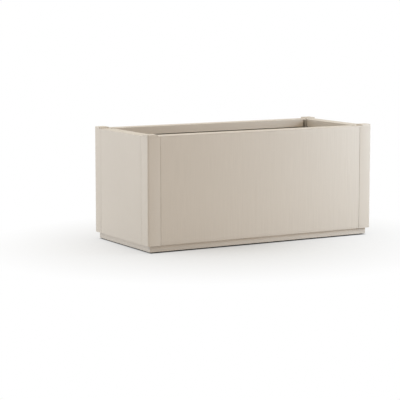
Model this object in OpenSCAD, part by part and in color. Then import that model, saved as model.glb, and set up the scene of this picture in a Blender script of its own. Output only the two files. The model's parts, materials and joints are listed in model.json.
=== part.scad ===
// Rectangular floor planter: a screwed frame of posts, rails and folded panels around a lift-out liner.
// The origin is on the floor under the middle of the planter, and the front faces -Y.

/* [Overall size] */
// Outside length, along X
length = 900; // [700:10:1400]
// Outside depth, along Y
depth = 400; // [300:10:600]
// Height of the rim's flat top above the floor
rim_top = 392; // [320:2:600]

/* [Corner posts] */
// Outside width of the post's square tube, which shows as a strip on each face
post_size = 48; // [46:1:54]
// Wall thickness of the post
post_wall = 2.5; // [2:0.5:3]
// Radius of the post's outer upright edge
post_radius = 6; // [4:0.5:8]
// Number of screws in each of the post's tongues
tongue_screws = 3; // [2:1:5]
// Distance of the outer tongue screws from the post's ends
tongue_screw_end = 40; // [30:5:80]

/* [Corner caps] */
// Outside width of the cap
cap_size = 38; // [34:1:44]
// Height of the cap's top above the rim
cap_rise = 5; // [2:0.5:8]
// Gap between the cap and the rim rails beside it
cap_gap = 0.5; // [0.3:0.1:1]
// Depth of the plug that holds the cap in the post
cap_plug_depth = 14; // [8:1:24]
// Thickness of the plug's walls and top
cap_plug_wall = 2.5; // [1.5:0.5:4]
// Gap between a plug and the inside of the post
plug_gap = 0.2; // [0.1:0.1:0.5]

/* [Side panels] */
// Sheet thickness of the panels
panel_t = 2; // [1.5:0.5:3]
// Width of the shadow seam between a panel and a post's strip
seam = 0.8; // [0.5:0.1:3]
// Depth of the panel's folded edges, outside
fold_depth = 18; // [14:1:24]
// Width of the inner flange along the panel's folded edges
fold_flange = 14; // [12:1:15]

/* [Rim] */
// Width of the rim's flat top
rim_w = 48; // [46:1:60]
// Sheet thickness of the rim rails
rim_t = 3; // [2:0.5:4]
// Height of the rim, from the flat top to the lip's lower edge
lip_h = 27.5; // [15:0.5:50]
// Distance that the lip and the top beside it stop short of the rim's inner corner
lip_notch = 10; // [8:1:30]
// Height of the screw leg under the rim
rim_leg_h = 20; // [16:1:40]

/* [Plinth] */
// Distance that the plinth is set back from the outer faces
plinth_inset = 12; // [8:1:16]
// Width of the plinth's tube
plinth_w = 30; // [28:1:40]
// Height of the plinth's tube
plinth_h = 22; // [15:1:60]
// Wall thickness of the plinth and cross tubes
tube_wall = 2; // [1.5:0.5:3]
// Distance between the middles of the two cross tubes
cross_spacing = 300; // [200:10:340]
// Width of a cross tube
cross_w = 30; // [20:1:40]

/* [Glides] */
// Radius of a glide
glide_r = 13; // [8:1:14]
// Height of a glide, which is the gap under the plinth
glide_h = 3; // [2:0.5:8]
// Radius of the glide's stem
glide_stem_r = 4; // [3:0.5:5]
// Height of the glide's stem inside the tube
glide_stem_h = 5; // [3:1:10]
// Distance of the outer glides from the ends of the planter
glide_end = 70; // [60:5:150]

/* [Base rails and floor] */
// Thickness of the base rails and of the rim's screw leg
rail_t = 2.5; // [2:0.5:4]
// Height of the base rail's upright leg
rail_h = 24; // [20:1:40]
// Thickness of the floor plate
floor_t = 3; // [2:0.5:6]
// Gap around the floor plate, at the screw heads and posts
floor_gap = 0.5; // [0.5:0.5:2]
// Gap between the ends of the rails and the post's tongues
rail_end_gap = 1; // [0.5:0.5:3]

/* [Liner] */
// Wall thickness of the liner
liner_t = 3; // [2:0.5:4]
// Gap between the liner's edge and the rim's lip
liner_gap = 3; // [2:0.5:8]
// Gap between the liner's top and the lip's lower edge
liner_drop = 2.5; // [2:0.5:30]
// Distance that the liner's top edge stands out from its wall
liner_edge_w = 6; // [5:1:8]
// Thickness of the liner's top edge
liner_edge_t = 4; // [3:0.5:6]
// Height of the liner's turned-down edge
liner_skirt_h = 10; // [6:1:16]
// Thickness of the liner's turned-down edge
liner_skirt_t = 2.5; // [2:0.5:3]
// Outside radius of the liner's upright corners
liner_radius = 15; // [8:1:40]
// Width of the hand slot in each end of the liner
hand_w = 90; // [70:5:120]
// Height of the hand slot
hand_h = 24; // [18:1:34]
// Radius of the hand slot's corners
hand_radius = 6; // [3:1:8]
// Distance from the liner's top to the hand slot
hand_drop = 18; // [14:1:40]

/* [Drains] */
// Distance between the two drains
drain_spacing = 520; // [450:10:600]
// Inside radius of the drain's bore
drain_r = 12.5; // [8:0.5:16]
// Inside radius of the sump around the drain
sump_r = 24; // [21:1:30]
// Depth of the sump below the liner's floor
sump_drop = 10; // [8:1:12]
// Height of the spigot's mouth above the ground
spigot_z = 8; // [4:1:8]
// Gap between the sump and the hole in the floor plate
sump_gap = 1; // [0.5:0.5:3]
// Gap between the bung's stem and the drain's bore
bung_gap = 0.3; // [0.3:0.1:0.6]
// Radius of the bung's flange
bung_flange_r = 17; // [16.5:0.5:19]
// Thickness of the bung's flange
bung_flange_t = 3; // [2:0.5:4]
// Radius of the bung's grip
bung_grip_r = 9; // [8:0.5:12]
// Radius of the waist under the grip
bung_waist_r = 6; // [4:0.5:7]
// Height of the bung's grip above its flange
bung_grip_h = 5.5; // [4:0.5:6]
// Thickness of the grip's head
bung_head_h = 2.5; // [1.5:0.5:3]
// Length of the bung's stem
bung_stem_h = 9.5; // [6:0.5:12]
// Chamfer at the foot of the bung's stem
bung_lead = 1; // [0.5:0.5:2]

/* [Screws] */
// Radius of a screw's shank
screw_r = 2.5; // [2:0.5:3]
// Radius of a pan head
head_r = 4.5; // [4:0.5:5]
// Height of a pan head
head_h = 2.6; // [2:0.2:3]
// Length of a screw below its head
screw_l = 9; // [7:1:12]
// Clearance of a screw in its hole
screw_gap = 0.1; // [0.1:0.1:0.3]
// Width of the hexagon key's socket
socket_w = 3; // [2:0.5:4]
// Distance of the outer rim and base screws from the post's tongues
screw_end = 60; // [50:5:80]
// Number of rim and base screws on a long side
long_screws = 4; // [2:1:8]
// Number of rim and base screws on a short side
short_screws = 2; // [2:1:4]
// Distance of the floor screws from the ends of the cross tubes
floor_screw_end = 48; // [20:2:70]

/* [Post bolts] */
// Radius of the bolt that holds a post down
bolt_r = 2.5; // [2:0.5:3]
// Radius of the bolt's head
bolt_head_r = 4.25; // [3.5:0.25:4.5]
// Height of the bolt's head
bolt_head_h = 4; // [3:0.5:5]
// Height of the plug in the foot of a post
foot_plug_h = 14; // [10:1:20]
// Width across the flats of the bolt's socket
bolt_socket_w = 4; // [3:0.5:5]
// Distance from the bolt to the inner face of the post's tube
bolt_inset = 16; // [14:0.5:17]
// Distance from the bolt to the plinth's outer face
bolt_depth = 7; // [6:0.5:8]
// Radius of the hole that lets the bolt's head into the tube
bolt_access_r = 5; // [4.5:0.25:5.5]

/* [Hidden] */
$fn = 64;
// Small overlap of joined shapes, and the reach of a cut beyond what it cuts
eps = 0.01;
past = 1;
// Width across the corners of a hexagon that is 1 wide across its flats
hex_span = 2 / sqrt(3);

FRONT = 0;
RIGHT = 1;
BACK = 2;
LEFT = 3;
SIDES = [FRONT, RIGHT, BACK, LEFT];
LONG_SIDES = [FRONT, BACK];
side_len = [length, depth, length, depth];
side_out = [depth / 2, length / 2, depth / 2, length / 2];

body_z = glide_h + plinth_h;
ledge_top = body_z + rail_t;
floor_top = ledge_top + floor_t;
panel_top = rim_top - rim_t;
post_bore = post_size - 2 * post_wall;
post_bore_radius = max(post_radius - post_wall, 1);
plug_size = post_bore - 2 * plug_gap;
plug_radius = max(post_bore_radius - plug_gap, 0.5);
tongue_end = post_size + seam + panel_t + fold_flange;
tongue_mid = tongue_end - fold_flange / 2;
rail_in = fold_depth + rail_t;
rim_screw_z = panel_top - panel_t - fold_flange / 2;
base_screw_z = body_z + panel_t + fold_flange / 2;
floor_edge = rail_in + head_h + floor_gap;
plinth_in = plinth_inset + plinth_w;
bolt_at = [post_size - bolt_inset, plinth_inset + bolt_depth];
countersink = head_r - screw_r;
floor_screw_y = depth / 2 - plinth_in - floor_screw_end;

liner_bottom = floor_top;
liner_top = rim_top - lip_h - liner_drop;
liner_x = length / 2 - rim_w - liner_gap;
liner_y = depth / 2 - rim_w - liner_gap;
wall_x = liner_x - liner_edge_w;
wall_y = liner_y - liner_edge_w;
sump_bottom = liner_bottom - sump_drop;
sump_floor = sump_bottom + liner_t;
hand_z = liner_top - hand_drop - hand_h / 2;

paint = [0.80, 0.77, 0.72];
grain_paint = [0.77, 0.74, 0.69];
liner_colour = [0.74, 0.71, 0.65];
tube_colour = [0.72, 0.69, 0.64];
steel = [0.70, 0.71, 0.72];
rubber = [0.12, 0.12, 0.12];

// Evenly spaced places along a length, centred on zero
function spread(count, span) = [for (i = [0 : count - 1]) -span / 2 + i * span / (count - 1)];

// Heights of the screws that hold a panel to a post's tongue
function tongue_heights() =
    let (low = body_z + tongue_screw_end, high = panel_top - tongue_screw_end)
    [for (z = spread(tongue_screws, high - low)) (low + high) / 2 + z];

// Places of the rim and base screws along one side
function side_screws(side) =
    let (count = side == FRONT || side == BACK ? long_screws : short_screws)
    spread(count, side_len[side] - 2 * (tongue_end + screw_end));

// Corner frame: the outer corner is the origin, and +X and +Y both point inwards
module at_corner(x_side, y_side) {
    translate([x_side * length / 2, y_side * depth / 2, 0])
        mirror([x_side > 0 ? 1 : 0, 0, 0])
            mirror([0, y_side > 0 ? 1 : 0, 0])
                children();
}

// Side frame: +X runs along the side from its middle, +Y inwards from the outer face
module at_side(side) {
    rotate([0, 0, 90 * side])
        translate([0, -side_out[side], 0])
            children();
}

// A rectangle with its near corner at the origin rounded
module one_round_corner(width, radius) {
    difference() {
        square([width, width]);
        square([radius, radius]);
    }
    intersection() {
        translate([radius, radius]) circle(r = radius);
        square([radius, radius]);
    }
}

// A rectangle about the origin with four round corners
module round_rectangle(x, y, radius) {
    square([x, y - 2 * radius], center = true);
    square([x - 2 * radius, y], center = true);
    for (i = [-1, 1], j = [-1, 1])
        translate([i * (x / 2 - radius), j * (y / 2 - radius)])
            circle(r = radius);
}

// A round hole along Y, from y = 0 inwards
module hole_y(radius, depth_y) {
    rotate([-90, 0, 0]) cylinder(r = radius, h = depth_y);
}

// A pan head screw driven towards -Y, with the underside of its head at y = 0
module pan_screw() {
    difference() {
        union() {
            translate([0, -screw_l, 0]) hole_y(screw_r, screw_l + eps);
            hole_y(head_r, head_h);
        }
        translate([0, head_h / 2, 0])
            rotate([-90, 0, 0])
                cylinder(d = socket_w * hex_span, h = head_h, $fn = 6);
    }
}

// Plan of the post: a square tube and two tongues behind the folds of the panels
module post_profile() {
    tongue_l = tongue_end - post_size + eps;
    difference() {
        union() {
            one_round_corner(post_size, post_radius);
            translate([post_size - eps, fold_depth])
                square([tongue_l, post_wall]);
            translate([fold_depth, post_size - eps])
                square([post_wall, tongue_l]);
        }
        translate([post_wall, post_wall]) one_round_corner(post_bore, post_bore_radius);
    }
}

module corner_post(x_side, y_side) {
    color(paint)
        at_corner(x_side, y_side)
            difference() {
                translate([0, 0, body_z])
                    linear_extrude(panel_top - body_z) post_profile();
                for (z = tongue_heights(), swap = [0, 1])
                    mirror([swap, -swap, 0])
                        translate([tongue_mid, fold_depth - eps, z])
                            hole_y(screw_r + screw_gap, post_wall + 2 * eps);
            }
}

// A cap over the post's corner, with a plug that is closed at the top and lies under the rim rails
module corner_cap(x_side, y_side) {
    plug_at = post_wall + plug_gap;
    hollow_at = plug_at + cap_plug_wall;
    hollow_size = plug_size - 2 * cap_plug_wall;
    neck_size = cap_size - cap_plug_wall - hollow_at;
    color(paint)
        at_corner(x_side, y_side)
            translate([0, 0, panel_top]) {
                linear_extrude(rim_t + cap_rise)
                    one_round_corner(cap_size, post_radius);
                translate([hollow_at, hollow_at, -past])
                    cube([neck_size, neck_size, 2 * past]);
                difference() {
                    translate([plug_at, plug_at, -cap_plug_depth])
                        linear_extrude(cap_plug_depth)
                            one_round_corner(plug_size, plug_radius);
                    translate([hollow_at, hollow_at, -cap_plug_depth - past])
                        cube([hollow_size, hollow_size, cap_plug_depth - cap_plug_wall + past]);
                }
            }
}

// A panel folded from sheet: a face, four returns and an inner flange all round
module side_panel(side, colour) {
    half_w = side_len[side] / 2 - post_size - seam;
    tall = panel_top - body_z;
    edge = panel_t + fold_flange;
    color(colour)
        at_side(side)
            difference() {
                translate([-half_w, 0, body_z])
                    cube([2 * half_w, fold_depth, tall]);
                translate([-half_w + panel_t, panel_t, body_z + panel_t])
                    cube([2 * (half_w - panel_t), fold_depth - 2 * panel_t, tall - 2 * panel_t]);
                translate([-half_w + edge, panel_t, body_z + edge])
                    cube([2 * (half_w - edge), fold_depth, tall - 2 * edge]);
                for (x = [-1, 1] * (side_len[side] / 2 - tongue_mid), z = tongue_heights())
                    translate([x, fold_depth - 2 * panel_t, z])
                        hole_y(screw_r + screw_gap, 3 * panel_t);
                for (x = side_screws(side), z = [rim_screw_z, base_screw_z])
                    translate([x, fold_depth - 2 * panel_t, z])
                        hole_y(screw_r + screw_gap, 3 * panel_t);
            }
}

// A rim rail: flat top notched round the posts, inner lip and hidden screw leg
module rim_rail(side) {
    half = side_len[side] / 2;
    beside_cap = half - cap_size - cap_gap;
    lip_half = half - rim_w - lip_notch;
    leg_half = half - tongue_end - rail_end_gap;
    color(paint)
        at_side(side)
            difference() {
                union() {
                    translate([0, 0, panel_top])
                        linear_extrude(rim_t)
                            polygon([
                                [-beside_cap, 0],
                                [beside_cap, 0],
                                [beside_cap, cap_size],
                                [lip_half, cap_size],
                                [lip_half, rim_w],
                                [-lip_half, rim_w],
                                [-lip_half, cap_size],
                                [-beside_cap, cap_size]
                            ]);
                    translate([-lip_half, rim_w - rim_t, rim_top - lip_h])
                        cube([2 * lip_half, rim_t, lip_h]);
                    translate([-leg_half, fold_depth, panel_top - rim_leg_h])
                        cube([2 * leg_half, rail_t, rim_leg_h + eps]);
                }
                for (x = side_screws(side))
                    translate([x, fold_depth - eps, rim_screw_z])
                        hole_y(screw_r + screw_gap, rail_t + 2 * eps);
            }
}

// A base rail: an angle with a ledge on the plinth and a leg behind the panel
module base_rail(side) {
    half = side_len[side] / 2 - tongue_end - rail_end_gap;
    color(tube_colour)
        at_side(side)
            difference() {
                union() {
                    translate([-half, fold_depth, body_z])
                        cube([2 * half, plinth_in - fold_depth, rail_t]);
                    translate([-half, fold_depth, body_z])
                        cube([2 * half, rail_t, rail_h]);
                }
                for (x = side_screws(side))
                    translate([x, fold_depth - eps, base_screw_z])
                        hole_y(screw_r + screw_gap, rail_t + 2 * eps);
            }
}

// Plan of a plinth rail between two depths from the outer face, mitred at its ends
module mitred_plan(half, near, far, extra) {
    polygon([
        [-half + near - extra, near],
        [half - near + extra, near],
        [half - far + extra, far],
        [-half + far - extra, far]
    ]);
}

// Places of the glides along a long side
function glide_places() = [-1, 0, 1] * (length / 2 - glide_end);

module plinth_rail(side) {
    half = side_len[side] / 2;
    is_long = side == FRONT || side == BACK;
    color(paint)
        at_side(side)
            difference() {
                translate([0, 0, glide_h])
                    linear_extrude(plinth_h)
                        mitred_plan(half, plinth_inset, plinth_in, 0);
                translate([0, 0, glide_h + tube_wall])
                    linear_extrude(plinth_h - 2 * tube_wall)
                        mitred_plan(half, plinth_inset + tube_wall, plinth_in - tube_wall, past);
                if (is_long) {
                    for (x = glide_places())
                        translate([x, plinth_inset + plinth_w / 2, glide_h - eps])
                            cylinder(r = glide_stem_r + screw_gap, h = tube_wall + 2 * eps);
                    for (x = [-1, 1] * (half - bolt_at[0])) {
                        translate([x, bolt_at[1], glide_h - eps])
                            cylinder(r = bolt_access_r, h = tube_wall + 2 * eps);
                        translate([x, bolt_at[1], body_z - tube_wall - eps])
                            cylinder(r = bolt_r + screw_gap, h = tube_wall + 2 * eps);
                    }
                }
            }
}

module cross_tube(x_side) {
    half = depth / 2 - plinth_in;
    tall = ledge_top - glide_h;
    bore_w = cross_w - 2 * tube_wall;
    color(tube_colour)
        translate([x_side * cross_spacing / 2, 0, 0])
            difference() {
                translate([-cross_w / 2, -half, glide_h])
                    cube([cross_w, 2 * half, tall]);
                translate([-bore_w / 2, -half - past, glide_h + tube_wall])
                    cube([bore_w, 2 * (half + past), tall - 2 * tube_wall]);
                for (y = [-1, 1] * floor_screw_y)
                    translate([0, y, ledge_top - tube_wall - eps])
                        cylinder(r = screw_r + screw_gap, h = tube_wall + 2 * eps);
            }
}

module floor_plate() {
    notch = post_size + floor_gap;
    color(tube_colour)
        difference() {
            translate([0, 0, ledge_top])
                linear_extrude(floor_t)
                    square([length - 2 * floor_edge, depth - 2 * floor_edge], center = true);
            for (i = [-1, 1], j = [-1, 1])
                at_corner(i, j)
                    translate([0, 0, ledge_top - past])
                        cube([notch, notch, floor_t + 2 * past]);
            for (i = [-1, 1])
                translate([i * drain_spacing / 2, 0, ledge_top - past])
                    cylinder(r = sump_r + liner_t + sump_gap, h = floor_t + 2 * past);
            for (i = [-1, 1], y = [-1, 1] * floor_screw_y)
                translate([i * cross_spacing / 2, y, 0]) {
                    translate([0, 0, ledge_top - past])
                        cylinder(r = screw_r + screw_gap, h = floor_t + 2 * past);
                    translate([0, 0, floor_top - countersink])
                        cylinder(r1 = screw_r + screw_gap, r2 = head_r + screw_gap, h = countersink + eps);
                }
        }
}

module liner() {
    color(liner_colour)
        difference() {
            union() {
                translate([0, 0, liner_bottom])
                    linear_extrude(liner_top - liner_bottom)
                        round_rectangle(2 * wall_x, 2 * wall_y, liner_radius);
                translate([0, 0, liner_top - liner_edge_t])
                    linear_extrude(liner_edge_t)
                        round_rectangle(2 * liner_x, 2 * liner_y, liner_radius + liner_edge_w);
                translate([0, 0, liner_top - liner_skirt_h])
                    linear_extrude(liner_skirt_h)
                        difference() {
                            round_rectangle(2 * liner_x, 2 * liner_y, liner_radius + liner_edge_w);
                            round_rectangle(
                                2 * (liner_x - liner_skirt_t),
                                2 * (liner_y - liner_skirt_t),
                                liner_radius + liner_edge_w - liner_skirt_t
                            );
                        }
                for (i = [-1, 1])
                    translate([i * drain_spacing / 2, 0, 0]) {
                        translate([0, 0, sump_bottom])
                            cylinder(r = sump_r + liner_t, h = sump_drop + liner_t);
                        translate([0, 0, spigot_z])
                            cylinder(r = drain_r + liner_t, h = sump_floor - spigot_z);
                    }
            }
            translate([0, 0, liner_bottom + liner_t])
                linear_extrude(liner_top)
                    round_rectangle(2 * (wall_x - liner_t), 2 * (wall_y - liner_t), liner_radius - liner_t);
            for (i = [-1, 1])
                translate([i * drain_spacing / 2, 0, 0]) {
                    translate([0, 0, sump_floor])
                        cylinder(r = sump_r, h = sump_drop + liner_t);
                    translate([0, 0, spigot_z - past])
                        cylinder(r = drain_r, h = sump_floor - spigot_z + 2 * past);
                }
            for (i = [-1, 1])
                translate([i * (wall_x - liner_t / 2), 0, hand_z])
                    rotate([90, 0, 90])
                        translate([0, 0, -liner_t])
                            linear_extrude(2 * liner_t)
                                round_rectangle(hand_w, hand_h, hand_radius);
        }
}

// A bung turned about its axis: stem in the bore, flange in the sump and a waisted grip on top
module drain_bung(x_side) {
    stem_r = drain_r - bung_gap;
    grip_top = bung_flange_t + bung_grip_h;
    color(rubber)
        translate([x_side * drain_spacing / 2, 0, sump_floor])
            rotate_extrude()
                polygon([
                    [0, -bung_stem_h],
                    [stem_r - bung_lead, -bung_stem_h],
                    [stem_r, bung_lead - bung_stem_h],
                    [stem_r, 0],
                    [bung_flange_r, 0],
                    [bung_flange_r, bung_flange_t],
                    [bung_waist_r, bung_flange_t],
                    [bung_waist_r, grip_top - bung_head_h],
                    [bung_grip_r, grip_top - bung_head_h],
                    [bung_grip_r, grip_top],
                    [0, grip_top]
                ]);
}

module post_foot_plugs() {
    color(rubber)
        for (i = [-1, 1], j = [-1, 1])
            at_corner(i, j)
                difference() {
                    translate([post_wall + plug_gap, post_wall + plug_gap, body_z])
                        linear_extrude(foot_plug_h)
                            one_round_corner(plug_size, plug_radius);
                    translate([bolt_at[0], bolt_at[1], body_z - past])
                        cylinder(r = bolt_r + screw_gap, h = foot_plug_h + 2 * past);
                }
}

module post_bolts() {
    head_z = body_z - tube_wall;
    color(steel)
        for (i = [-1, 1], j = [-1, 1])
            at_corner(i, j)
                translate([bolt_at[0], bolt_at[1], head_z - bolt_head_h])
                    difference() {
                        union() {
                            cylinder(r = bolt_head_r, h = bolt_head_h);
                            cylinder(r = bolt_r, h = bolt_head_h + tube_wall + foot_plug_h);
                        }
                        translate([0, 0, -bolt_head_h / 2])
                            cylinder(d = bolt_socket_w * hex_span, h = bolt_head_h, $fn = 6);
                    }
}

module glides() {
    color(rubber)
        for (side = LONG_SIDES, x = glide_places())
            at_side(side)
                translate([x, plinth_inset + plinth_w / 2, 0]) {
                    cylinder(r = glide_r, h = glide_h);
                    cylinder(r = glide_stem_r, h = glide_h + glide_stem_h);
                }
}

module panel_screws() {
    color(steel)
        for (side = SIDES)
            at_side(side)
                for (x = [-1, 1] * (side_len[side] / 2 - tongue_mid), z = tongue_heights())
                    translate([x, fold_depth + post_wall, z]) pan_screw();
}

// A row of screws through the rim legs or the base rails of all four sides
module rail_screws(z) {
    color(steel)
        for (side = SIDES)
            at_side(side)
                for (x = side_screws(side))
                    translate([x, rail_in, z]) pan_screw();
}

module floor_screws() {
    color(steel)
        for (i = [-1, 1], y = [-1, 1] * floor_screw_y)
            translate([i * cross_spacing / 2, y, floor_top - countersink]) {
                cylinder(r1 = screw_r, r2 = head_r, h = countersink);
                translate([0, 0, countersink - screw_l])
                    cylinder(r = screw_r, h = screw_l - countersink + eps);
            }
}

corner_post(-1, -1);  // corner_post_front_left
corner_post(1, -1);  // corner_post_front_right
corner_post(-1, 1);  // corner_post_back_left
corner_post(1, 1);  // corner_post_back_right
corner_cap(-1, -1);  // corner_cap_front_left
corner_cap(1, -1);  // corner_cap_front_right
corner_cap(-1, 1);  // corner_cap_back_left
corner_cap(1, 1);  // corner_cap_back_right
side_panel(FRONT, grain_paint);  // front_panel
side_panel(BACK, grain_paint);  // back_panel
side_panel(LEFT, paint);  // left_panel
side_panel(RIGHT, paint);  // right_panel
rim_rail(FRONT);  // rim_rail_front
rim_rail(BACK);  // rim_rail_back
rim_rail(LEFT);  // rim_rail_left
rim_rail(RIGHT);  // rim_rail_right
base_rail(FRONT);  // base_rail_front
base_rail(BACK);  // base_rail_back
base_rail(LEFT);  // base_rail_left
base_rail(RIGHT);  // base_rail_right
plinth_rail(FRONT);  // plinth_rail_front
plinth_rail(BACK);  // plinth_rail_back
plinth_rail(LEFT);  // plinth_rail_left
plinth_rail(RIGHT);  // plinth_rail_right
cross_tube(-1);  // cross_tube_left
cross_tube(1);  // cross_tube_right
floor_plate();
liner();
drain_bung(-1);  // drain_bung_left
drain_bung(1);  // drain_bung_right
post_foot_plugs();
post_bolts();
glides();
panel_screws();
rail_screws(rim_screw_z);  // rim_screws
rail_screws(base_screw_z);  // base_screws
floor_screws();
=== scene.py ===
"""Looks of a rectangular floor planter: powder-coated posts, panels and rim around a lift-out liner."""

import json
import math

import bmesh
import bpy
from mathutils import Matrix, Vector, noise

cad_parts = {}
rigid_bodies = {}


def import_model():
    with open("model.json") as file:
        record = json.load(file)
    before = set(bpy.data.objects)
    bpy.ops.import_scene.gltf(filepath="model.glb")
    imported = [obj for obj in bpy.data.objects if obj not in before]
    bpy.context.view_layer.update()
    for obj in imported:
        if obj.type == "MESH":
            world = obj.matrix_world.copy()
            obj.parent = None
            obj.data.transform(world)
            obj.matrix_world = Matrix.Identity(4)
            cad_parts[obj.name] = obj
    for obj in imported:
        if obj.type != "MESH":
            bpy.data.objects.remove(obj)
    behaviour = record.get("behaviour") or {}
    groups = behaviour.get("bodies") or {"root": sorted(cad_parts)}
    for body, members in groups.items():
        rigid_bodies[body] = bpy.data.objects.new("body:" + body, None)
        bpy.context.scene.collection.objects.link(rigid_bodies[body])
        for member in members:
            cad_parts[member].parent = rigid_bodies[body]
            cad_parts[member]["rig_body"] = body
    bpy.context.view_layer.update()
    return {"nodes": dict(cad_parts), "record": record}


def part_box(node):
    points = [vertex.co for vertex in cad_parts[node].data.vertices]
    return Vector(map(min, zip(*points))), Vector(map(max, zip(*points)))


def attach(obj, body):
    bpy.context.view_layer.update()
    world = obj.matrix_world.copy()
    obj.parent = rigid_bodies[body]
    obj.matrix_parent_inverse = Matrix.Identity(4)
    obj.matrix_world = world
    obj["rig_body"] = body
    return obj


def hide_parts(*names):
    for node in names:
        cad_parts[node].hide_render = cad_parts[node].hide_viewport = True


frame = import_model()

MM = 0.001

# Camera: place, heading from +Y towards +X, tilt below the horizon, lens, sensor, and how far it sees
CAMERA_AT = (-2.9031, -4.8724, 0.8760)
CAMERA_HEADING = math.radians(29.572)
CAMERA_TILT = math.radians(7.493)
CAMERA_LENS = 144.68
CAMERA_SENSOR = 36.0
CAMERA_REACH = 100

# Sheet edges and folds
SHEET = 2 * MM
FOLD_RADIUS = 1.0 * MM
FOLD_STEPS = 4
INNER_FLANGE = 14 * MM
CUT_EDGE = 0.4 * MM

# Relief of the grain on the long panels: its depth, the mesh that carries it and the smooth border
GRAIN_DEPTH = 0.30 * MM
GRAIN_COLUMN = 2.0 * MM
GRAIN_ROW = 12 * MM
GRAIN_FADE = 5 * MM
# Each layer's waves a metre across and along the grain, and its share of the relief
GRAIN_LAYERS = ((55.0, 2.0, 0.45), (130.0, 6.0, 0.35), (260.0, 12.0, 0.20))
GRAIN_CONTRAST = 0.9
# A place in the noise for each panel
GRAIN_SEED = {"front_panel": 1.3, "back_panel": 7.9}

# Edge rounding of the other pieces
EDGE = {
    "corner_post": 0.6 * MM,
    "corner_cap": 1.0 * MM,
    "left_panel": 0.6 * MM,
    "right_panel": 0.6 * MM,
    "rim_rail": 0.7 * MM,
    "plinth_rail": 1.0 * MM,
    "base_rail": 0.4 * MM,
    "cross_tube": 0.8 * MM,
    "floor_plate": 0.4 * MM,
    "liner": 0.8 * MM,
    "drain_bung": 0.6 * MM,
    "glides": 0.5 * MM,
}
EDGE_STEPS = 3
SHARP_ANGLE = math.radians(30)
FLAT_ANGLE = math.radians(0.5)
WELD = 1e-6

# Colours, linear: the coat and the caps, the coat inside and the liner with painted shade, rubber and
# nylon, steel, and the floor
BEIGE = (0.600, 0.545, 0.472)
# Painted shade: the beige coat made darker and browner for the shade and bounce light inside the planter
BEIGE_INNER_PAINTED_SHADE = (0.535, 0.460, 0.360)
# The liner's own beige, made darker and browner as painted shade for the shade and bounce light inside the
# planter
BEIGE_LINER_PAINTED_SHADE = (0.565, 0.485, 0.370)
RUBBER = (0.018, 0.018, 0.018)
STEEL = (0.55, 0.55, 0.56)
FLOOR = (0.62, 0.617, 0.61)

# Skin of each finish: waves a metre and depth, and for the steel how it is drawn out along the axes
COAT_SKIN = (900, 0.06 * MM)
PLASTIC_SKIN = (1400, 0.05 * MM)
RUBBER_SKIN = (1200, 0.06 * MM)
TURNING_MARKS = (2500, 0.03 * MM, (1, 0.1, 1))
# The grain in the coat: waves a metre, detail and how it is drawn out upwards, and its depth
STREAKS = (260, 3, (1, 1, 0.035))
STREAK_DEPTH = 0.22 * MM
# Clouding of the coat, which each coat spreads by its own variation: waves a metre and detail
COAT_CLOUDS = (2.5, 2)
COAT_SPECKS = (700, 3)
# Patches in colour and roughness: waves a metre, detail, and the lowest and highest value
COAT_ROUGHNESS = (40, 3, 0.46, 0.56)
PLASTIC_CLOUDS = (4, 2, 0.97, 1.03)
PLASTIC_SPECKS = (450, 3, 0.985, 1.015)
PLASTIC_ROUGHNESS = (30, 3, 0.52, 0.62)
RUBBER_BLOOM = (60, 4, 0.8, 1.5)
RUBBER_ROUGHNESS = (90, 3, 0.65, 0.85)
STEEL_CLOUDS = (300, 3, 0.9, 1.1)
STEEL_ROUGHNESS = (500, 3, 0.28, 0.42)
# Paler band along the edges of the coat: its width, how pale it is, how alike the rounded and the true
# normal are where it is full and where it ends, and the patches that break it up
WEAR_RADIUS = 1.5 * MM
WEAR_TINT = 1.05
WEAR_ALIKE = (0.75, 0.99)
WEAR_PATCHES = (60, 4, 0.2, 1)
# Specular level of the coat and the plastics, and of rubber and nylon
SATIN_SPECULAR = 0.35
RUBBER_SPECULAR = 0.3

FLOOR_SIZE = 30.0
# Painted contact shade in the floor's colour: half its rectangle, its reach beyond, and the share of that
# colour left in it
CONTACT_HALF = (0.431, 0.188, 0)
CONTACT_REACH = 0.012
CONTACT_SHADE = 0.10
# Wide oval shade: its centre, half its size, how much of the floor it shows, and how steeply it fades
SHADE_CENTRE = (-0.095, -0.105, 0)
SHADE_HALF = (0.90, 0.80, 1)
SHADE_DEPTH = 0.86
SHADE_POWER = 1.23

# Light from all round, and the lamps: place, aim, width, height, power in watts and colour
WORLD_LIGHT = (0.543, 0.512, 0.460)
LAMPS = {
    "left_softbox": ((-3.5, 1.8, 0.60), (-0.45, 0, 0.25), 2.0, 1.1, 53.2, (0.93, 0.98, 1.09)),
    "high_left_softbox": ((-1.9, 0.3, 1.3), (-0.45, 0, 0.2), 1.2, 0.8, 3.6, (0.89, 0.99, 1.11)),
    "right_softbox": ((1.15, -0.95, 0.6), (0.45, -0.2, 0.2), 0.5, 0.5, 8.6, (0.83, 0.99, 1.18)),
    "top_softbox": ((0.1, 0.1, 3.0), (0, 0, 0), 3.0, 2.0, 33.1, (1.07, 1.02, 0.90)),
    "front_softbox": ((0.8, -4.5, 1.0), (0, 0, 0.2), 3.0, 1.2, 24.0, (1.22, 0.95, 0.83)),
}

slot_of = {s["node"]: s["material_slot"] for s in frame["record"]["subparts"]}
scene = bpy.context.scene


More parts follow.
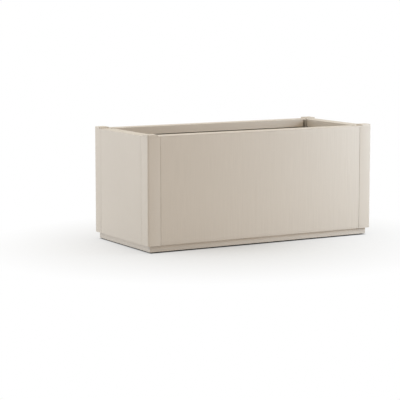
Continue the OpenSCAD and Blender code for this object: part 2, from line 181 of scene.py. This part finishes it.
class Nodes:
    """Short calls for building a material's node tree."""

    def __init__(self, name):
        self.material = bpy.data.materials.new(name)
        self.material.use_nodes = True
        self.tree = self.material.node_tree
        self.tree.nodes.clear()
        self.coords = self.add("ShaderNodeTexCoord").outputs["Object"]

    def add(self, kind, **values):
        made = self.tree.nodes.new(kind)
        for key, value in values.items():
            setattr(made, key, value)
        return made

    def link(self, source, target):
        self.tree.links.new(source, target)

    def noise(self, scale, detail=2.0, stretch=(1, 1, 1)):
        """Noise of so many waves a metre, drawn out along the axes with a stretch below 1."""
        mapping = self.add("ShaderNodeMapping")
        mapping.inputs["Scale"].default_value = [scale * s for s in stretch]
        texture = self.add("ShaderNodeTexNoise")
        texture.inputs["Scale"].default_value = 1.0
        texture.inputs["Detail"].default_value = detail
        self.link(self.coords, mapping.inputs["Vector"])
        self.link(mapping.outputs["Vector"], texture.inputs["Vector"])
        return texture.outputs["Fac"]

    def spread(self, source, low, high, from_low=0.3, from_high=0.7):
        """Maps a factor to a range of values."""
        ranged = self.add("ShaderNodeMapRange")
        ranged.inputs["From Min"].default_value = from_low
        ranged.inputs["From Max"].default_value = from_high
        ranged.inputs["To Min"].default_value = low
        ranged.inputs["To Max"].default_value = high
        self.link(source, ranged.inputs["Value"])
        return ranged.outputs["Result"]

    def patches(self, scale, detail, low, high):
        """A factor that drifts between two values in patches."""
        return self.spread(self.noise(scale, detail), low, high)

    def worn_edges(self, radius, low, high):
        """A factor that goes from low on flat ground to high along the edges, broken up by patches."""
        rounded = self.add("ShaderNodeBevel", samples=4)
        rounded.inputs["Radius"].default_value = radius
        true_normal = self.add("ShaderNodeNewGeometry").outputs["True Normal"]
        alike = self.add("ShaderNodeVectorMath", operation="DOT_PRODUCT")
        self.link(rounded.outputs["Normal"], alike.inputs[0])
        self.link(true_normal, alike.inputs[1])
        edge = self.spread(alike.outputs["Value"], 1, 0, *WEAR_ALIKE)
        patchy = self.times(edge, self.patches(*WEAR_PATCHES))
        return self.spread(patchy, low, high, 0, 1)

    def times(self, first, second):
        product = self.add("ShaderNodeMath", operation="MULTIPLY")
        self.link(first, product.inputs[0])
        self.link(second, product.inputs[1])
        return product.outputs["Value"]

    def vector(self, operation, source, other=None):
        """A vector, and one fixed vector where the operation takes two."""
        made = self.add("ShaderNodeVectorMath", operation=operation)
        self.link(source, made.inputs[0])
        if other is not None:
            made.inputs[1].default_value = other
        return made.outputs["Vector"]

    def length(self, source):
        made = self.add("ShaderNodeVectorMath", operation="LENGTH")
        self.link(source, made.inputs[0])
        return made.outputs["Value"]

    def tint(self, colour, factor):
        """A colour made lighter or darker by a factor about 1."""
        scaled = self.add("ShaderNodeVectorMath", operation="SCALE")
        scaled.inputs[0].default_value = colour
        self.link(factor, scaled.inputs["Scale"])
        return scaled.outputs["Vector"]

    def bump(self, height, distance, under=None):
        """A bumped normal, on top of another one where it is given."""
        made = self.add("ShaderNodeBump")
        made.inputs["Distance"].default_value = distance
        made.inputs["Strength"].default_value = 1.0
        self.link(height, made.inputs["Height"])
        if under is not None:
            self.link(under, made.inputs["Normal"])
        return made.outputs["Normal"]

    def skin(self, scale, depth, stretch=(1, 1, 1)):
        """The fine bumps that cover a whole surface."""
        return self.bump(self.noise(scale, stretch=stretch), depth)

    def surface(self, colour, roughness, normal, **values):
        shader = self.add("ShaderNodeBsdfPrincipled")
        self.link(colour, shader.inputs["Base Color"])
        self.link(roughness, shader.inputs["Roughness"])
        self.link(normal, shader.inputs["Normal"])
        for key, value in values.items():
            shader.inputs[key].default_value = value
        output = self.add("ShaderNodeOutputMaterial")
        self.link(shader.outputs["BSDF"], output.inputs["Surface"])
        return self.material


def powder_coat(name, colour, variation=0.02, grain=0.0):
    """Satin powder coat with a fine orange-peel skin, and an upright grain where grain is above 0."""
    n = Nodes(name)
    clouds = n.patches(*COAT_CLOUDS, 1 - variation, 1 + variation)
    specks = n.patches(*COAT_SPECKS, 1 - variation, 1 + variation)
    factor = n.times(n.times(clouds, specks), n.worn_edges(WEAR_RADIUS, 1, WEAR_TINT))
    skin = n.skin(*COAT_SKIN)
    if grain:
        streaks = n.noise(*STREAKS)
        factor = n.times(factor, n.spread(streaks, 1 - grain, 1 + grain))
        skin = n.bump(streaks, STREAK_DEPTH, skin)
    roughness = n.patches(*COAT_ROUGHNESS)
    return n.surface(n.tint(colour, factor), roughness, skin, **{"Specular IOR Level": SATIN_SPECULAR})


def moulded_plastic(name, colour):
    """Matt moulded plastic with a fine spark-eroded skin."""
    n = Nodes(name)
    factor = n.times(n.patches(*PLASTIC_CLOUDS), n.patches(*PLASTIC_SPECKS))
    roughness = n.patches(*PLASTIC_ROUGHNESS)
    skin = n.skin(*PLASTIC_SKIN)
    return n.surface(n.tint(colour, factor), roughness, skin, **{"Specular IOR Level": SATIN_SPECULAR})


def black_rubber(name):
    """Matt black rubber or nylon with a dusty bloom."""
    n = Nodes(name)
    factor = n.patches(*RUBBER_BLOOM)
    roughness = n.patches(*RUBBER_ROUGHNESS)
    skin = n.skin(*RUBBER_SKIN)
    return n.surface(n.tint(RUBBER, factor), roughness, skin, **{"Specular IOR Level": RUBBER_SPECULAR})


def turned_steel(name):
    """Stainless steel with fine turning marks."""
    n = Nodes(name)
    factor = n.patches(*STEEL_CLOUDS)
    roughness = n.patches(*STEEL_ROUGHNESS)
    skin = n.skin(*TURNING_MARKS)
    return n.surface(n.tint(STEEL, factor), roughness, skin, Metallic=1.0)


MATERIALS = {
    "paint": powder_coat("beige_powder_coat", BEIGE),
    "grain_paint": powder_coat("grained_powder_coat", BEIGE, variation=0.015, grain=0.02),
    "cap": moulded_plastic("cap_plastic", BEIGE),
    # The coat inside carries painted shade in its darker, browner colour
    "inner_frame": powder_coat("inner_coat_painted_shade", BEIGE_INNER_PAINTED_SHADE, variation=0.03),
    # The liner carries painted shade in its darker, browner colour
    "liner": moulded_plastic("liner_plastic_painted_shade", BEIGE_LINER_PAINTED_SHADE),
    "plug": black_rubber("black_nylon"),
    "rubber": black_rubber("black_rubber"),
    "steel": turned_steel("stainless_steel"),
}


def stand_for(piece, node):
    """The piece takes a CAD node's place and body, and the material of its slot."""
    piece.data.materials.clear()
    piece.data.materials.append(MATERIALS[slot_of[node]])
    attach(piece, frame["nodes"][node]["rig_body"])
    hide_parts(node)
    return piece


def new_object(name, mesh):
    piece = bpy.data.objects.new(name, mesh)
    scene.collection.objects.link(piece)
    return piece


def bake_modifiers(piece):
    """Keeps the result of a piece's modifiers as its own mesh."""
    graph = bpy.context.evaluated_depsgraph_get()
    mesh = bpy.data.meshes.new_from_object(piece.evaluated_get(graph))
    piece.modifiers.clear()
    piece.data = mesh


def soft_edged(node, radius):
    """A copy of a CAD node with its sharp edges rounded."""
    mesh = frame["nodes"][node].data.copy()
    work = bmesh.new()
    work.from_mesh(mesh)
    bmesh.ops.remove_doubles(work, verts=work.verts, dist=WELD)
    bmesh.ops.dissolve_limit(work, angle_limit=FLAT_ANGLE, verts=work.verts, edges=work.edges)
    for face in work.faces:
        face.smooth = True
    work.to_mesh(mesh)
    work.free()
    mesh.set_sharp_from_angle(angle=SHARP_ANGLE)
    piece = new_object(node + "_finish", mesh)
    bevel = piece.modifiers.new("bevel", "BEVEL")
    bevel.width = radius
    bevel.segments = EDGE_STEPS
    bevel.limit_method = "ANGLE"
    bevel.angle_limit = SHARP_ANGLE
    bevel.harden_normals = True
    bake_modifiers(piece)
    return stand_for(piece, node)


def grain_height(x, z, seed):
    """Depth of the grain at a place on a panel, from 0 to 1, about a middle of one half."""
    total = 0.5
    for across, along, share in GRAIN_LAYERS:
        total += GRAIN_CONTRAST * share * noise.noise(Vector((x * across, seed, z * along)))
    return min(max(total, 0.0), 1.0)


def border_fade(distance):
    """0 at a panel's border, 1 from GRAIN_FADE inwards."""
    t = min(max(distance / GRAIN_FADE, 0.0), 1.0)
    return t * t * (3 - 2 * t)


def fold_sections(depth):
    """Pairs of inset from the outline and depth from the face, from the face's border round to its back."""
    angles = [math.pi / 2 * i / FOLD_STEPS for i in range(1, FOLD_STEPS + 1)]
    arc = [(FOLD_RADIUS * (1 - math.sin(a)), FOLD_RADIUS * (1 - math.cos(a))) for a in angles]
    flange = SHEET + INNER_FLANGE
    return arc + [
        (0, depth - CUT_EDGE),
        (CUT_EDGE, depth),
        (flange, depth),
        (flange, depth - SHEET),
        (SHEET, depth - SHEET),
        (SHEET, SHEET),
    ]


def grained_panel(node, seed):
    """A folded panel whose face has an upright grain in relief, as wide and high as its CAD node."""
    low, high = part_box(node)
    outward = -1 if low.y < 0 else 1
    face_y = low.y if outward < 0 else high.y
    half_x, half_z = (high.x - low.x) / 2, (high.z - low.z) / 2
    middle_z = (high.z + low.z) / 2
    inner_x, inner_z = half_x - FOLD_RADIUS, half_z - FOLD_RADIUS
    columns, rows = round(2 * inner_x / GRAIN_COLUMN), round(2 * inner_z / GRAIN_ROW)
    work = bmesh.new()

    def vertex(x, depth, z):
        return work.verts.new((x, face_y - outward * depth, middle_z + z))

    grid = []
    for j in range(rows + 1):
        z = inner_z * (2 * j / rows - 1)
        line = []
        for i in range(columns + 1):
            x = inner_x * (2 * i / columns - 1)
            fade = border_fade(min(inner_x - abs(x), inner_z - abs(z)))
            line.append(vertex(x, GRAIN_DEPTH * fade * grain_height(x, z, seed), z))
        grid.append(line)
    for j in range(rows):
        for i in range(columns):
            work.faces.new((grid[j][i], grid[j][i + 1], grid[j + 1][i + 1], grid[j + 1][i]))

    border = grid[0][:-1] + [line[-1] for line in grid[:-1]]
    border += grid[-1][:0:-1] + [line[0] for line in grid[:0:-1]]
    places = [(v.co.x / inner_x, (v.co.z - middle_z) / inner_z) for v in border]
    ring = border
    for inset, depth in fold_sections(high.y - low.y):
        outer = [vertex(u * (half_x - inset), depth, w * (half_z - inset)) for u, w in places]
        for k, corner in enumerate(ring):
            after = (k + 1) % len(ring)
            work.faces.new((corner, outer[k], outer[after], ring[after]))
        ring = outer
    work.faces.new(ring)
    bmesh.ops.recalc_face_normals(work, faces=work.faces)
    for face in work.faces:
        face.smooth = True
    mesh = bpy.data.meshes.new(node + "_finish")
    work.to_mesh(mesh)
    work.free()
    mesh.set_sharp_from_angle(angle=SHARP_ANGLE)
    return stand_for(new_object(node + "_finish", mesh), node)


def seen_directly(tree):
    """1 for rays that show a surface to the camera, also by reflection or through glass."""
    rays = tree.nodes.new("ShaderNodeLightPath")
    total = rays.outputs["Is Camera Ray"]
    for kind in ("Is Glossy Ray", "Is Transmission Ray"):
        either = tree.nodes.new("ShaderNodeMath")
        either.operation = "MAXIMUM"
        tree.links.new(total, either.inputs[0])
        tree.links.new(rays.outputs[kind], either.inputs[1])
        total = either.outputs["Value"]
    return total


def floor_material():
    """Pale floor that keeps the planter's shadow, adds a painted contact shade and fades to plain white
    away from the planter.
    """
    n = Nodes("pale_floor")
    diffuse = n.add("ShaderNodeBsdfDiffuse")
    white = n.add("ShaderNodeEmission")
    white.inputs["Color"].default_value = (1, 1, 1, 1)
    white.inputs["Strength"].default_value = 1.0
    seen = seen_directly(n.tree)
    place = n.vector("ABSOLUTE", n.coords)
    beyond = n.vector("MAXIMUM", n.vector("SUBTRACT", place, CONTACT_HALF), (0, 0, 0))
    contact = n.spread(n.length(beyond), 1, 0, 0, CONTACT_REACH)
    # Painted shade: the floor's colour is darkened near the planter for the rays that show it
    painted_contact_shade = n.spread(n.times(contact, seen), 1, CONTACT_SHADE, 0, 1)
    n.link(n.tint(FLOOR, painted_contact_shade), diffuse.inputs["Color"])
    across = n.vector("DIVIDE", n.vector("SUBTRACT", n.coords, SHADE_CENTRE), SHADE_HALF)
    inwards = n.add("ShaderNodeMath", operation="POWER")
    inwards.inputs[1].default_value = SHADE_POWER
    n.link(n.spread(n.length(across), 1, 0, 0, 1), inwards.inputs[0])
    shade = n.spread(inwards.outputs["Value"], 1, 1 - SHADE_DEPTH, 0, 1)
    fade = n.times(n.spread(contact, 1, 0, 0, 1), shade)
    mixed = n.add("ShaderNodeMixShader")
    n.link(n.times(fade, seen), mixed.inputs["Fac"])
    n.link(diffuse.outputs["BSDF"], mixed.inputs[1])
    n.link(white.outputs["Emission"], mixed.inputs[2])
    output = n.add("ShaderNodeOutputMaterial")
    n.link(mixed.outputs["Shader"], output.inputs["Surface"])
    return n.material


def make_floor():
    mesh = bpy.data.meshes.new("floor")
    half = FLOOR_SIZE / 2
    corners = [(-half, -half, 0), (half, -half, 0), (half, half, 0), (-half, half, 0)]
    mesh.from_pydata(corners, [], [(0, 1, 2, 3)])
    mesh.materials.append(floor_material())
    new_object("floor", mesh)


def make_world():
    world = bpy.data.worlds.new("studio")
    world.use_nodes = True
    tree = world.node_tree
    tree.nodes.clear()
    level = tree.nodes.new("ShaderNodeMix")
    level.data_type = "RGBA"
    level.inputs["A"].default_value = (*WORLD_LIGHT, 1)
    level.inputs["B"].default_value = (1, 1, 1, 1)
    tree.links.new(seen_directly(tree), level.inputs["Factor"])
    background = tree.nodes.new("ShaderNodeBackground")
    tree.links.new(level.outputs["Result"], background.inputs["Color"])
    output = tree.nodes.new("ShaderNodeOutputWorld")
    tree.links.new(background.outputs["Background"], output.inputs["Surface"])
    scene.world = world


def make_lamp(name, place, aim, width, height, power, colour):
    data = bpy.data.lights.new(name, "AREA")
    data.shape = "RECTANGLE"
    data.size = width
    data.size_y = height
    data.energy = power
    data.color = colour
    lamp = bpy.data.objects.new(name, data)
    lamp.location = place
    lamp.rotation_euler = (Vector(aim) - Vector(place)).to_track_quat("-Z", "Y").to_euler()
    scene.collection.objects.link(lamp)


def make_camera():
    data = bpy.data.cameras.new("camera")
    data.lens = CAMERA_LENS
    data.sensor_width = CAMERA_SENSOR
    data.clip_end = CAMERA_REACH
    camera = bpy.data.objects.new("camera", data)
    camera.location = CAMERA_AT
    camera.rotation_euler = (math.pi / 2 - CAMERA_TILT, 0, -CAMERA_HEADING)
    scene.collection.objects.link(camera)
    scene.camera = camera


make_camera()
make_world()
make_floor()
for lamp_name, settings in LAMPS.items():
    make_lamp(lamp_name, *settings)

for panel_name, panel_seed in GRAIN_SEED.items():
    grained_panel(panel_name, panel_seed)
for kind, radius in EDGE.items():
    for node_name in sorted(frame["nodes"]):
        if node_name.startswith(kind):
            soft_edged(node_name, radius)
for node_name, cad in frame["nodes"].items():
    if not cad.hide_render:
        cad.data.materials.clear()
        cad.data.materials.append(MATERIALS[slot_of[node_name]])

scene.view_settings.view_transform = "Standard"
